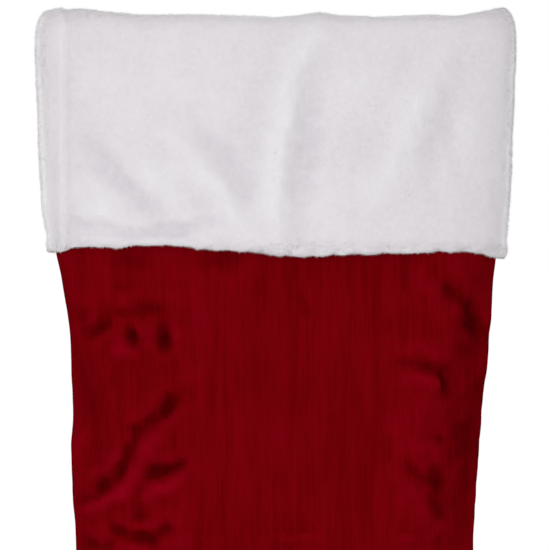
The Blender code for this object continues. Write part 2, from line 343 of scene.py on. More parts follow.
# Folds of the leg's front, (height, half width, points (x, z)) in millimetres. Their heights also set the
# velvet's painted shade.
FRONT_FOLDS = (
    (-3.4, 2.6, ((-77, -132.5), (-73, -131), (-69, -129))),
    (-2.3, 2.2, ((-59.5, -132.5), (-58.2, -135.8))),
    (0.9, 2.6, ((-62.5, -139), (-60.5, -142))),
    (-2.8, 2.6, ((-46, -131.5), (-44.3, -136.8))),
    (-0.9, 3.4, ((-80.7, -125.4), (-58.8, -123), (-38.8, -126))),
    (0.9, 3.2, ((-65, -119), (-57, -118.6))),
    (-1.2, 2.4, ((-36.6, -156), (-43.5, -163), (-52.6, -169.9), (-58.4, -172.6))),
    (-1.2, 2.4, ((-42, -160), (-47.5, -166.4))),
    (-1.0, 2.8, ((-52, -168.8), (-59.4, -172.2))),
    (-1.1, 2.2, ((-57.6, -171), (-59.2, -178.4), (-60.6, -183.1), (-65.3, -190.6))),
    (-1.5, 2.2, ((-60, -183.4), (-65.3, -190.2))),
    (-2.0, 2.6, ((-63.9, -189), (-68.2, -193.6), (-73.6, -198.4), (-80, -202.4))),
    (1.9, 2.6, ((-57.4, -190.5), (-62.6, -197.6), (-69.6, -201.8), (-77.6, -206.2))),
    (-3.0, 2.2, ((-52.6, -190.8), (-46, -189.6), (-39.4, -187.4))),
    (1.7, 3.2, ((-54, -181.2), (-48.8, -177.6))),
    (1.6, 2.6, ((-52.4, -200.4), (-47.3, -196.6), (-39.6, -194))),
    (0.9, 3.4, ((-78, -171.2), (-82, -178.9))),
    (-2.2, 2.4, ((-67.2, -212.4), (-61.6, -215.8), (-50.5, -216.9), (-44.9, -213.2))),
    (-1.2, 2.8, ((-80, -219.4), (-71.2, -221.6), (-65.4, -216.8))),
    (-1.0, 2.6, ((-61, -208.9), (-51.8, -207.3))),
    (0.9, 2.2, ((-64, -221), (-56, -221))),
    (0.8, 2.2, ((-43, -219), (-35.6, -217.5))),
    (-0.7, 3.4, ((60.5, -98), (66.7, -107.5), (71, -113.4))),
    (-1.2, 3.6, ((70.4, -111.4), (74, -117.6))),
    (-0.8, 3.6, ((72.6, -116), (78.6, -121.2), (81.6, -126.4))),
    (-1.5, 4.0, ((80.8, -123.4), (83.2, -129.4), (85.4, -133.2))),
    # A broad shallow valley down the right side, there mostly for the painted shade it gives along that edge.
    (-0.9, 9.0, ((81, -112), (79, -160), (78, -226))),
    (-1.7, 2.7, ((52, -143.8), (61.4, -146), (69, -147.4), (70.8, -152.6), (70.6, -158.6))),
    (-1.1, 2.0, ((69.4, -149), (70.8, -157.4))),
    (0.8, 3.0, ((56, -151), (64, -153))),
    (-2.0, 3.6, ((54.4, -188), (60.6, -193.3), (67.9, -194), (67.2, -199.7), (66.6, -204))),
    (1.0, 3.4, ((60.5, -180.2), (66.5, -179.4))),
    (-1.0, 2.0, ((67, -175.6), (69, -176.8))),
    # Two narrow ridges whose painted shade lightens them into thin light lines.
    (0.9, 1.3, ((49, -217.1), (64.4, -216.9), (68, -212.4))),
    (0.9, 1.3, ((1.4, -216.3), (18.9, -216.3))),
    (-0.8, 2.0, ((10.2, -117), (12.4, -124))),
    (-0.9, 5.0, ((-65, -101), (-53, -100.4))),
    (-0.9, 5.0, ((-27, -102), (-15, -101.6))),
    (0.5, 5.0, ((-38, -140), (-34, -152))),
)
# Folds that the bend of the ankle gives both halves.
ANKLE_FOLDS = (
    (-2.7, 6.4, ((84, -339), (66, -346), (44, -345), (20, -352))),
    (1.5, 6.0, ((80, -324), (58, -333), (30, -332))),
    (-2.1, 6.0, ((92, -362), (72, -372), (56, -388), (44, -410))),
    (1.2, 7.0, ((86, -351), (62, -359), (40, -374))),
    (-1.3, 6.0, ((106, -382), (92, -394), (84, -416))),
    (-1.2, 6.0, ((-86, -366), (-68, -368), (-50, -360))),
    (-1.6, 5.0, ((-90, -430), (-74, -431), (-58, -420), (-50, -404))),
    (1.0, 7.0, ((-88, -402), (-70, -404), (-52, -394))),
    (-0.9, 5.0, ((20, -420), (26, -448), (20, -470))),
)
# Unevenness of the bag: height, and size of its lumps across and down.
BACK_WAVES = (0.9 * MM, (26 * MM, 1, 44 * MM))
LONG_SAG = (0.55 * MM, (34 * MM, 1, 60 * MM))
SHORT_SAG = (0.3 * MM, (13 * MM, 1, 19 * MM))
SIDE_DENTS = (0.55 * MM, (8 * MM, 1, 11 * MM))
PUCKERS = (0.8 * MM, 9 * MM)
PUCKER_REACH = 10 * MM
# Painted shade: the share of the sag in it, and the height of a fold that gives full dark or light.
SAG_SHADE = 0.6
SHADE_DEPTH = 2.2 * MM
BACK_FOLD_SHIFT = (-3 * MM, 9 * MM)
UNDER_CUFF_Z = -92 * MM


def bag_wrinkles(grid, from_seam, side):
    """How far each point of the outer face stands out, from its folds, sagging and puckered seams, and a
    painted shade for its colour, from dark in its creases, -1, to light where it stands out, 1."""
    x, z = grid[..., 0], grid[..., 2]
    below_cuff = smoothstep(UNDER_CUFF_Z, UNDER_CUFF_Z - 14 * MM, z)
    edge = smoothstep(0, 9 * MM, from_seam)
    places = flat_places(x, z)

    def lumps(kind, seed, shift=(0, 0, 0)):
        height, size = kind
        return height * ripple(places + np.array(shift), size, seed)

    if side == FRONT:
        folds = strokes(ANKLE_FOLDS, x, z) * edge
        folds += strokes(FRONT_FOLDS, x, z) * (0.35 + 0.65 * edge)
    else:
        shift_x, shift_z = BACK_FOLD_SHIFT
        folds = 0.8 * strokes(ANKLE_FOLDS, x + shift_x, z + shift_z) * edge
        folds += lumps(BACK_WAVES, 3, (0.1, 0, 0.3)) * edge
    foot = smoothstep(-235 * MM, -330 * MM, z)
    sag = (lumps(LONG_SAG, 11 + side) * (1 + foot) + lumps(SHORT_SAG, 23 + side) * (1 + 1.2 * foot)) * edge
    sag += lumps(PUCKERS, 31) * np.exp(-from_seam / PUCKER_REACH) * (0.3 + 0.7 * edge)
    sag += lumps(SIDE_DENTS, 37 + side) * smoothstep(28 * MM, 50 * MM, np.abs(x)) * edge
    # Painted shade: creases made darker and raised places lighter in the velvet's colour.
    painted_shade = np.clip((folds + SAG_SHADE * sag) / SHADE_DEPTH, -1, 1)
    return (folds + sag) * below_cuff, painted_shade * below_cuff


def tip_normals(normals):
    """The last row is one point at the tip of the toe, and gets the mean normal of the row before."""
    normals[-1] = unit(normals[-2].mean(axis=0))
    return normals


CLOTH_SPACING = 5 * MM
CLOTH_COLUMNS = 37
CLOTH_FRAMES = 30
MOST_CLOTH_MOVE = 5 * MM


def cloth_start():
    """Coarse bag for the simulation: a ring of points for each row, front half first."""
    front, _, _ = bag_grid(FRONT, 0, CLOTH_SPACING, CLOTH_COLUMNS)
    back, _, _ = bag_grid(BACK, 0, CLOTH_SPACING, CLOTH_COLUMNS)
    return np.concatenate([front[:-1], back[:-1, -2:0:-1]], axis=1)


def settle_cloth(start):
    """Hangs the bag as slightly full cloth with a little air in it, held at its mouth and side seams.
    Returns the points after it has settled."""
    index = numbered(start)
    faces = grid_faces(index, wrap_columns=True)
    mesh = bpy.data.meshes.new("cloth")
    mesh.from_pydata(start.reshape(-1, 3).tolist(), [], faces.tolist())
    bag = add_object("cloth", mesh)
    held = bag.vertex_groups.new(name="held")
    pinned = np.zeros(index.shape, bool)
    pinned[start[:, 0, 2] > UNDER_CUFF_Z] = True
    pinned[-2:] = True
    pinned[:, 0] = pinned[:, CLOTH_COLUMNS - 1] = True
    held.add(index[pinned].tolist(), 1.0, "REPLACE")
    modifier = bag.modifiers.new("cloth", "CLOTH")
    settings = modifier.settings
    settings.quality = 6
    settings.mass = 0.12
    settings.tension_stiffness = settings.compression_stiffness = 12
    settings.shear_stiffness = 4
    settings.bending_stiffness = 0.4
    settings.air_damping = 2
    settings.vertex_group_mass = "held"
    settings.shrink_min = -0.035
    settings.use_pressure = True
    settings.uniform_pressure_force = 2.2
    modifier.collision_settings.use_collision = False
    modifier.point_cache.frame_start = 1
    modifier.point_cache.frame_end = CLOTH_FRAMES
    for step in range(1, CLOTH_FRAMES + 1):
        bpy.context.scene.frame_set(step)
    found = bag.evaluated_get(bpy.context.evaluated_depsgraph_get()).data
    points = np.array([vertex.co for vertex in found.vertices])
    bpy.context.scene.frame_set(1)
    bpy.data.objects.remove(bag)
    bpy.data.meshes.remove(mesh)
    return points.reshape(start.shape)


def cloth_moves():
    """How far the settled cloth has moved in each half, as grids {side: (rows, columns, 3)}."""
    start = cloth_start()
    move = settle_cloth(start) - start
    size = np.linalg.norm(move, axis=-1, keepdims=True) / MOST_CLOTH_MOVE
    move = move * np.tanh(size) / np.maximum(size, 1e-9)
    front = move[:, :CLOTH_COLUMNS]
    back = np.concatenate([move[:, :1], move[:, :CLOTH_COLUMNS - 2:-1]], axis=1)
    return {FRONT: front, BACK: back}


def stretched_grid(grid, rows, columns):
    """A coarse grid of vectors brought to more rows and columns with smooth steps between."""
    for axis, count in ((0, rows), (1, columns)):
        places = np.linspace(0, grid.shape[axis] - 1, count)
        low = np.minimum(places.astype(int), grid.shape[axis] - 2)
        t = places - low
        taken = [np.take(grid, np.clip(low + k, 0, grid.shape[axis] - 1), axis=axis) for k in (-1, 0, 1, 2)]
        weights = (
            (1 - t) ** 3 / 6,
            (3 * t**3 - 6 * t**2 + 4) / 6,
            (-3 * t**3 + 3 * t**2 + 3 * t + 1) / 6,
            t**3 / 6,
        )
        shape = [1, 1, 1]
        shape[axis] = count
        grid = sum(value * weight.reshape(shape) for value, weight in zip(taken, weights))
    return grid


def bag_surface(side, spacing, columns, moves):
    """Finished outer face of one half of the bag: points, normals, and its painted shade. Of the cloth's
    moves, only those in and out are used, and they fade out at the seams and the tip of the toe."""
    grid, from_seam, rows = bag_grid(side, 0, spacing, columns)
    if moves:
        move = stretched_grid(moves[side], *grid.shape[:2])[..., 1]
        to_tip = np.linspace(len(grid) - 1, 0, len(grid))[:, None] * spacing
        grid = grid.copy()
        grid[..., 1] += move * smoothstep(0, 12 * MM, from_seam) * smoothstep(3 * MM, 25 * MM, to_tip)
    shaped = seam_shape(grid, from_seam, rows)
    outward = np.zeros_like(grid)
    outward[..., 1] = side
    outward[..., 0] = grid[..., 0] - rows[:, None, 0]
    outward[..., 2] = grid[..., 2] - rows[:, None, 1]
    normals = tip_normals(normals_of(grid, outward))
    amount, painted_shade = bag_wrinkles(grid, from_seam, side)
    return shaped + normals * amount[..., None], normals, painted_shade


def cloth_shell(outer, inner, side):
    """Points and faces of a closed sheet between two grids that keeps to its own side of the seam."""
    inner = inner.copy()
    inner[..., 1] = side * np.maximum(np.abs(inner[..., 1]), SEAM_HALF_GAP)
    index = numbered(outer)
    other = index + index.size
    strips = (
        grid_faces(index),
        grid_faces(other),
        grid_faces(np.stack([index[0], other[0]])),
        grid_faces(np.stack([index[:, 0], other[:, 0]])),
        grid_faces(np.stack([index[:, -1], other[:, -1]])),
    )
    return np.concatenate([outer.reshape(-1, 3), inner.reshape(-1, 3)]), np.vstack(strips)


def velvet_panel(node, side, material, moves):
    surface, normals, painted_shade = bag_surface(side, VELVET_SPACING, VELVET_COLUMNS, moves)
    points, faces = cloth_shell(surface, surface - normals * VELVET_THICKNESS, side)
    # The painted shade is stored as the velvet's relief value.
    values = np.tile(painted_shade.ravel(), 2)
    return add_piece(node + "_velvet", points, faces, material, [node], values)


def lining_panel(node, side, material, moves):
    surface, normals, _ = bag_surface(side, LINING_SPACING, LINING_COLUMNS, moves)
    outer = surface + normals * LINING_OFFSET
    inner = outer - normals * LINING_THICKNESS
    points, faces = cloth_shell(outer, inner, side)
    return add_piece(node + "_cloth", points, faces, material, [node])


# ---------- the cuff

# Top of the rim and bottom of the hem across the front, (x, z) in millimetres.
RIM_LINE = (
    (-98, 0.9), (-95, 1.5), (-90, 1.7), (-84, 1.6), (-73, -0.2), (-60, -1.3), (-42, -1.7),
    (-29, -1.8), (0, -2.8), (10, -1.6), (20, -0.9), (27, -1.7), (43, -2.6), (52, -2.1), (64, -1.5),
    (77, -1.9), (83, -1), (91, 0.6), (95, 1.6), (98, 2.2),
)
HEM_LINE = (
    (-98, -99.5), (-91, -99.6), (-88, -98), (-79, -97.2), (-73, -97.1), (-67, -97.6), (-60, -96.4),
    (-48, -96.3), (-36, -97.5), (-29, -98.3), (-17, -98.8), (-4, -100.4), (2, -100.8), (14, -101.3),
    (27, -100.4), (46, -100), (52, -99.6), (64, -99.2), (83, -99.2), (89, -100), (94, -101.5),
    (98, -101.4),
)
# Section of the cuff: distance outside the bag, height between hem (-100) and rim (0), and how much of
# the nap's unevenness shows there.
CUFF_SECTION = (
    (0.9, -98, 0), (1.5, -99.4, 0.4), (2.9, -100, 0.8), (4.3, -99.8, 1), (4.85, -98.6, 1),
    (5, -96.8, 1), (5, -95.2, 1), (4.8, -93.4, 1), (5, -91.2, 1), (5.4, -86, 1), (5.7, -72, 1), (5.8, -55, 1),
    (5.8, -36, 1), (5.8, -16, 1), (5.2, -8.5, 1), (4.2, -4.4, 1), (2.6, -1.5, 1), (0, 0, 1),
    (-2.9, -1.5, 0.8), (-4.9, -5, 0.5), (-5.7, -11, 0.4), (-5.9, -20, 0.3), (-5.7, -27, 0.2),
    (-5.1, -29.2, 0), (-4.2, -29.4, 0), (-3.6, -28.4, 0), (-3.5, -20, 0), (-3.4, -8, 0),
    (-3, -4.6, 0), (-1.4, -4.2, 0), (0.3, -4.6, 0), (0.55, -8, 0), (0.6, -40, 0), (0.6, -75, 0),
    (0.6, -94, 0), (0.9, -98, 0),
)
# Folds of the cuff, front and back, (height, half width, points (x, z)) in millimetres; their heights also
# set the plush's painted shade.
CUFF_FOLDS = (
    (2.1, 5.0, ((17.3, -6.7), (10.2, -21.3), (4.8, -32.9), (2.3, -56.7), (0.2, -77.5), (-0.2, -93))),
    (-0.8, 6.0, ((18, -26), (12.5, -49.6), (8, -91.3))),
    (1.2, 5.0, ((-41.9, -52.5), (-32.7, -62.9), (-23.1, -72.1), (-14.8, -85.8), (-9.4, -94.2))),
    (-0.7, 4.4, ((-37, -42), (-26.2, -56.7), (-14.7, -71.3), (-6.6, -87.9))),
    (-1.35, 4.6, ((-78, -55), (-66, -67.6), (-58, -75.2), (-50, -82.8), (-38, -93))),
    (0.9, 9.0, ((-56, -62), (-44, -76))),
    (0.9, 8.0, ((-80, -76), (-66, -86))),
    (-1.2, 2.4, ((-84, -87), (-78.6, -88.4), (-62, -90.8), (-46, -90.8), (-36, -89), (-22, -86.4))),
    (1.1, 6.0, ((60.2, -37.1), (51.9, -54.6), (43.5, -72.1))),
    (-0.9, 6.0, ((78.1, -18.1), (71.5, -40), (64.4, -60.7))),
)
BACK_CUFF_FOLDS = (
    (1.2, 6.0, ((30, -20), (36, -60), (34, -92))),
    (-1.1, 6.0, ((20, -30), (24, -70), (22, -92))),
    (1.0, 7.0, ((-30, -40), (-22, -68), (-20, -94))),
    (-1.0, 5.0, ((70, -50), (58, -74), (50, -92))),
)
CUFF_COLUMNS = 480
CUFF_ROWS = 190
CUFF_HEIGHT = 100 * MM
LINE_HALF_WIDTH = 98 * MM
LAP_EDGE = -87.6 * MM
LAP_RISE = 0.6 * MM
HEM_TUFTS = (1.1 * MM, 4.5 * MM)
NAP_LUMPS = ((0.28 * MM, 14 * MM, 41), (0.16 * MM, 5 * MM, 43), (0.12 * MM, 1.9 * MM, 47))
FOLD_SCALE = 1.15
CUFF_WILDNESS = 0.4
# How far the cuff stands out for full painted shade, and how much painted light its sides and rim get.
FOLD_SHADE_DEPTH = 1.5 * MM
PAINTED_EDGE_LIGHT = 3.4
PAINTED_RIM_LIGHT = 0.65 * PAINTED_EDGE_LIGHT


def round_line(line, across, side):
    """Height of a line of points (x, z) all round the cuff. The back half is mirrored, and meets the
    front at the side seams."""
    line = np.asarray(line) * MM
    x = across * LINE_HALF_WIDTH
    front, mirrored = (np.interp(place, line[:, 0], line[:, 1]) for place in (x, -x))
    near_seam = smoothstep(70 * MM, 92 * MM, np.abs(x))
    return np.where(side == FRONT, front, near_seam * front + (1 - near_seam) * mirrored)


def tube_size(z):
    """Half width and half depth of the bag above the cuff's lower end."""
    share = (z - MOUTH_Z) / (CUFF_END_Z - MOUTH_Z)
    width = MOUTH_HALF_WIDTH + share * (CUFF_END_HALF_WIDTH - MOUTH_HALF_WIDTH)
    depth = MOUTH_HALF_DEPTH + share * (CUFF_END_HALF_DEPTH - MOUTH_HALF_DEPTH)
    return width, depth


def ring_section(count):
    """Ring of unit size: across, out along y, and side of the seam, from the left seam round the front."""
    half = half_section(count // 2 + 1)
    across = np.concatenate([half[:-1, 0], half[:0:-1, 0]])
    out = np.concatenate([-half[:-1, 1], half[:0:-1, 1]])
    side = np.repeat([FRONT, BACK], count // 2)
    return across, out, side


def cuff_places(section, columns):
    """Points (columns, rows, 3) of the cuff's section rows (offset, z) in metres, all round."""
    across, out, side = ring_section(columns)
    rim = round_line(RIM_LINE, across, side)[:, None]
    hem = round_line(HEM_LINE, across, side)[:, None] + CUFF_HEIGHT
    share = np.clip(-section[None, :, 1] / CUFF_HEIGHT, 0, 1)
    z = section[None, :, 1] + rim * (1 - share) + hem * share
    width, depth = tube_size(z)
    offset = section[None, :, 0]
    return np.stack([across[:, None] * (width + offset), out[:, None] * (depth + offset), z], axis=-1)


def cuff_relief(points, side):
    """How far the outside of the cuff stands out: folds, the lapped seam, the tufts at the hem and the
    nap's unevenness."""
    x, z = points[..., 0], points[..., 2]
    width, depth = tube_size(z)
    out = (np.abs(x / width) ** SECTION_POWER + np.abs(points[..., 1] / depth) ** SECTION_POWER) - 1
    out *= depth / 2
    folds = FOLD_SCALE * np.where(
        (side == FRONT)[:, None],
        strokes(CUFF_FOLDS, x, z, CUFF_WILDNESS),
        strokes(BACK_CUFF_FOLDS, x, z, CUFF_WILDNESS),
    )
    past_lap = x - LAP_EDGE
    lap = LAP_RISE * smoothstep(1.2 * MM, -1.2 * MM, past_lap)
    lap += 0.25 * MM * bell(past_lap + 1.4 * MM, 1.3 * MM)
    lap -= 0.3 * MM * bell(past_lap - 1.5 * MM, 1.2 * MM)
    lap -= LAP_RISE * smoothstep(-70 * MM, -96 * MM, x)
    low_corner = smoothstep(-84 * MM, -97 * MM, x) * smoothstep(-76 * MM, -95 * MM, z)
    lap -= 0.9 * MM * low_corner
    height, size = HEM_TUFTS
    at_hem = smoothstep(-95 * MM, -99 * MM, z) * smoothstep(1.5 * MM, 3 * MM, out)
    nap = height * at_hem * ripple(points, size, 53)
    nap += sum(height * ripple(points, size, seed) for height, size, seed in NAP_LUMPS)
    return folds + lap + nap


def cuff_grid():
    """Finished surface of the cuff, its normals, how much of the nap shows on each row, and how far each
    point stands out."""
    dense = smooth_rows(np.array(CUFF_SECTION) * (MM, MM, 1), 12)
    dense[:, 2] = np.clip(dense[:, 2], 0, 1)
    section = resample(dense, running_length(dense[:, :2]), CUFF_ROWS + 1)[:-1]
    points = cuff_places(section, CUFF_COLUMNS)
    closed = np.concatenate([points[-1:], points, points[:1]])
    closed = np.concatenate([closed[:, -1:], closed, closed[:, :1]], axis=1)
    normals = np.cross(closed[2:, 1:-1] - closed[:-2, 1:-1], closed[1:-1, 2:] - closed[1:-1, :-2])
    normals = unit(normals)
    centre = points.mean(axis=1, keepdims=True)
    if ((points - centre) * normals).sum() < 0:
        normals = -normals
    _, _, side = ring_section(CUFF_COLUMNS)
    shown = section[None, :, 2]
    relief = cuff_relief(points, side) * shown
    return points + normals * relief[..., None], normals, shown, relief


def painted_edge_light(normals):
    """Painted light: how much lighter the pile's colour is made where its surface turns sideways, at the
    cuff's sides and rim, to lift the shade there.
    """
    turned = smoothstep(0.2, 0.5, 1 - np.abs(normals[..., 1]))
    sideways, upright = normals[..., 0] ** 2, normals[..., 2] ** 2
    return turned * (PAINTED_EDGE_LIGHT * sideways + PAINTED_RIM_LIGHT * upright) / (sideways + upright + 1e-9)


def cuff_piece(material):
    points, normals, _, relief = cuff_grid()
    faces = grid_faces(numbered(points), wrap_rows=True, wrap_columns=True)
    # Colour value: painted shade from how far each point stands out, plus painted light at the sides and rim.
    values = np.clip(relief / FOLD_SHADE_DEPTH, -1, 1) + painted_edge_light(normals)
    return add_piece("cuff_plush", points, faces, material, ["cuff_band"], values)


NAP_FIBRES = 40000
NAP_LENGTH = (0.7 * MM, 1.5 * MM)
NAP_WIDTH = 0.24 * MM
NAP_SINK = 0.3 * MM
NAP_LEAN = 0.75
NAP_SHOWN = 0.5
NAP_BARE = 0.03
NAP_SIDE = (0.93, 0.995)
ANY_WAY = (0.31, 0.22, 0.93)


def nap_piece(material):
    """Short fibres on the outside of the cuff, most along its rim, hem and sides: narrow three-sided
    points that lean at random."""
    points, normals, shown, _ = cuff_grid()
    chance = np.random.RandomState(7)
    z = points[..., 2]
    near_side = smoothstep(*NAP_SIDE, np.abs(points[..., 0]) / (MOUTH_HALF_WIDTH + 5 * MM))
    near_end = np.maximum(smoothstep(-8 * MM, 0, z), smoothstep(-94 * MM, -99 * MM, z))
    density = (shown >= NAP_SHOWN) * (NAP_BARE + np.maximum(near_side, near_end))
    place = chance.choice(density.size, NAP_FIBRES, p=(density / density.sum()).ravel())
    column, row = np.unravel_index(place, density.shape)
    share = chance.rand(NAP_FIBRES, 2, 1)
    before, after = points[column, row], points[(column + 1) % len(points), row]
    beside = points[column, (row + 1) % points.shape[1]]
    root = before + (after - before) * share[:, 0] + (beside - before) * share[:, 1]
    up = normals[column, row]
    lean = chance.normal(size=(NAP_FIBRES, 3))
    lean[:, 2] -= NAP_LEAN
    aim = unit(up + NAP_LEAN * unit(lean))
    across = unit(np.cross(aim, ANY_WAY))
    other = np.cross(aim, across)
    length = chance.uniform(*NAP_LENGTH, (NAP_FIBRES, 1))
    foot = root - up * NAP_SINK
    corners = [foot + aim * length]
    for angle in (0, 2 * math.pi / 3, 4 * math.pi / 3):
        side = across * math.cos(angle) + other * math.sin(angle)
        corners.append(foot + side * NAP_WIDTH / 2)
    corners = np.stack(corners, axis=1)
    start = 4 * np.arange(NAP_FIBRES)[:, None]
    faces = np.concatenate([start + part for part in ((0, 1, 2), (0, 2, 3), (0, 3, 1), (3, 2, 1))])
    # The fibres get the same painted light at the cuff's sides and rim as the cuff under them.
    values = np.broadcast_to(painted_edge_light(up)[:, None], corners.shape[:2])
    return add_piece("cuff_nap", corners, faces, material, (), values)


# ---------- stitches


STITCH_RINGS, STITCH_SIDES = 7, 6
STITCH_ASIDE = (0.13, 0.87, 0.48)


def stitch_points(paths, radius):
    """A closed tube with round ends along each path of points; returns points and faces."""
    points, faces, start = [], [], 0
    angle = np.linspace(0, 2 * math.pi, STITCH_SIDES, endpoint=False)[None, :, None]
    size = radius * np.sqrt(np.clip(1 - np.linspace(-1, 1, STITCH_RINGS) ** 6, 0.02, 1))
    for line in paths:
        line = np.asarray(line, float)
        middle = resample(line, running_length(line), STITCH_RINGS)
        along = unit(np.gradient(middle, axis=0))
        across = unit(np.cross(along, STITCH_ASIDE))
        up = np.cross(along, across)
        ring = across[:, None] * np.cos(angle) + up[:, None] * np.sin(angle)
        tube = middle[:, None] + ring * size[:, None, None]
        index = start + numbered(tube)
        first, last = start + index.size, start + index.size + 1
        tip = 0.3 * radius
        points += [tube.reshape(-1, 3), middle[:1] - along[:1] * tip, middle[-1:] + along[-1:] * tip]
        faces += tube_faces(index, first, last)
        start = last + 1
    return np.vstack(points), faces


def stitches_along(line, pitch, share, radius, sink):
    """Separate stitches that follow a line, rows of a point and its outward direction. Each takes a share
    of the pitch, and its ends are sunk."""
    line = np.asarray(line)
    travel = running_length(line[:, :3])
    count = int(travel[-1] / pitch)
    paths = []
    for number in range(count):
        reach = np.linspace(-1, 1, 5)
        places = (number + 0.5 + share * reach / 2) * travel[-1] / count
        found = np.stack([np.interp(places, travel, column) for column in line.T], axis=1)
        dip = np.abs(reach)[:, None] ** 3 * sink
        paths.append(found[:, :3] - found[:, 3:6] * dip)
    return stitch_points(paths, radius)


THREAD_RADIUS = 0.24 * MM
CUFF_PITCH, CUFF_SHARE, CUFF_SINK = 3.2 * MM, 0.75, 0.5 * MM


def thread_piece(node, points, faces, material):
    return add_piece(node + "_stitches", points, faces, material, [node])


def ring_stitches(node, offset, z, material, outside):
    """Stitches all round the cuff at one place of its section, on its outside or in its mouth."""
    points = cuff_places(np.array([[offset, z]]), CUFF_COLUMNS)[:, 0]
    _, _, side = ring_section(CUFF_COLUMNS)
    outward = unit(points * (1, 4, 0))
    if outside:
        points = points + outward * cuff_relief(points[:, None], side)
    else:
        outward = -outward
    line = np.hstack([points, outward])
    line = np.vstack([line, line[:1]])
    points, faces = stitches_along(line, CUFF_PITCH, CUFF_SHARE, THREAD_RADIUS, CUFF_SINK)
    return thread_piece(node, points, faces, material)


def lap_stitches(material):
    """Stitches down the inner edge of the cuff's lapped seam."""
    heights = np.linspace(-93, -7, 60) * MM
    width, depth = tube_size(heights)
    x = np.full(len(heights), LAP_EDGE + 1.5 * MM)
    offset = 5.5 * MM
    share = np.abs(x) / (width + offset)
    y = -(depth + offset) * (1 - share**SECTION_POWER) ** (1 / SECTION_POWER)
    points = np.stack([x, y, heights], axis=1)
    outward = np.tile((-0.5, -0.85, 0.0), (len(points), 1))
    relief = cuff_relief(points[None], np.array([FRONT]))[0]
    points += outward * (relief - 0.35 * MM)[:, None]
    line = np.hstack([points, outward])
    points, faces = stitches_along(line, CUFF_PITCH, CUFF_SHARE, THREAD_RADIUS, CUFF_SINK)
    return thread_piece("lap_seam_thread", points, faces, material)


def seam_stitches(node, offset, radius, material):
    """Stitches in the side seam, all round the bag's outline."""
    rows = bag_rows(offset, 2 * MM)
    heel_side, toe_side = bag_edges(rows)
    outline = np.vstack([heel_side, toe_side[-2::-1]])
    direction = np.vstack([-rows[:, 2:4], rows[-2::-1, 2:4]])
    line = np.zeros((len(outline), 6))
    line[:, (0, 2)], line[:, (3, 5)] = outline, direction
    points, faces = stitches_along(line, 3 * MM, 0.8, radius, 0.3 * MM)
    return thread_piece(node, points, faces, material)


# ---------- the hanging loop

STRAP_WIDTH = 5.5 * MM
STRAP_THICKNESS = 2.9 * MM
FOLD_HALF_GAP = 0.8 * MM
FOLD_RADIUS = FOLD_HALF_GAP + 1.5 * MM
# Right half of the free loop: inner x, inner z, outer x, outer z in millimetres, from the fold down.
LOOP_OUTLINE = (
    (0, -0.4, 5.5, -0.4), (0, -7, 5.5, -7), (0.1, -13, 5.6, -12), (0.6, -16, 6.1, -15),
    (1.8, -20.5, 7.5, -18.5), (3.5, -26, 9.1, -24.5), (5.3, -33, 10.6, -32), (6.5, -40, 11.6, -39.5),
    (7, -46, 12, -46.5), (6.8, -48.4, 11.6, -50.4), (5.8, -50, 9.8, -53.4), (4, -50.8, 6.8, -55.2),
    (2, -51, 3.4, -55.9), (0, -51, 0, -56),
)
TAB_LENGTH = 21.4 * MM
TAB_TOP = -0.4 * MM
STRAP_SIDES = 24


def strap_path():
    """Edges of the strap on its middle plane, as rows of nine numbers: near edge, far edge, outward. They
    run up the right half of the tab, over the fold and round the free loop, and back on the left."""
    right = smooth_rows(LOOP_OUTLINE, 8) * MM
    half = []
    for z in np.linspace(-TAB_LENGTH, TAB_TOP, 12):
        half.append((0, -FOLD_RADIUS, z, STRAP_WIDTH, -FOLD_RADIUS, z, 0, -1, 0))
    for angle in np.linspace(0, math.pi, 17)[1:-1]:
        y, z = -FOLD_RADIUS * math.cos(angle), FOLD_RADIUS * math.sin(angle)
        half.append((0, y, z, STRAP_WIDTH, y, z, 0, -math.cos(angle), math.sin(angle)))
    for inner_x, inner_z, outer_x, outer_z in right:
        half.append((inner_x, FOLD_RADIUS, inner_z, outer_x, FOLD_RADIUS, outer_z, 0, 1, 0))
    half = np.array(half)
    mirror = half[-2::-1] * (-1, 1, 1, -1, 1, 1, 1, 1, 1)
    return np.vstack([half, mirror])


def loop_turn(points):
    """From the loop's own frame, with the fold line along X, to the row's."""
    fold = [joint for joint in frame["joints"] if joint["name"] == "loop_flip"][0]
    along = np.array(fold["axis"], float)
    out = np.array((-along[1], along[0], 0))
    return points @ np.stack([along, out, (0, 0, 1)]) + np.array(fold["pos_m"], float)


def strap_piece(material):
    path = strap_path()
    near, far, outward = path[:, 0:3], path[:, 3:6], path[:, 6:9]
    middle = (near + far) / 2
    across = (far - near) / 2
    angle = np.linspace(0, 2 * math.pi, STRAP_SIDES, endpoint=False)
    flat = np.sign(np.cos(angle)) * np.abs(np.cos(angle)) ** 0.45
    high = np.sign(np.sin(angle)) * np.abs(np.sin(angle)) ** 0.6
    rings = (
        middle[:, None]
        + across[:, None] * (flat * 0.985)[None, :, None]
        + outward[:, None] * (high * STRAP_THICKNESS / 2)[None, :, None]
    )
    index = numbered(rings)
    faces = tube_faces(index, index.size, index.size + 1)
    points = np.vstack([rings.reshape(-1, 3), middle[:1], middle[-1:]])
    points = loop_turn(points) - FRAME_ORIGIN
    nodes = ("hanging_loop", "loop_tab")
    piece = add_piece("hanging_strap", points, faces, material, nodes, body=None)
    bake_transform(piece)
    return piece


def bartack_piece(material):
    """A zigzag of thread across the tab."""
    places = [(3.8 * (-1) ** (number + 1), -0.72, -6 - number * 1.3) for number in range(7)]
    paths = [np.array(pair) * MM for pair in zip(places, places[1:])]
    points, faces = stitch_points(paths, 0.3 * MM)
    points = loop_turn(points) - FRAME_ORIGIN
    return thread_piece("loop_bartack", points, faces, material)


# ---------- materials


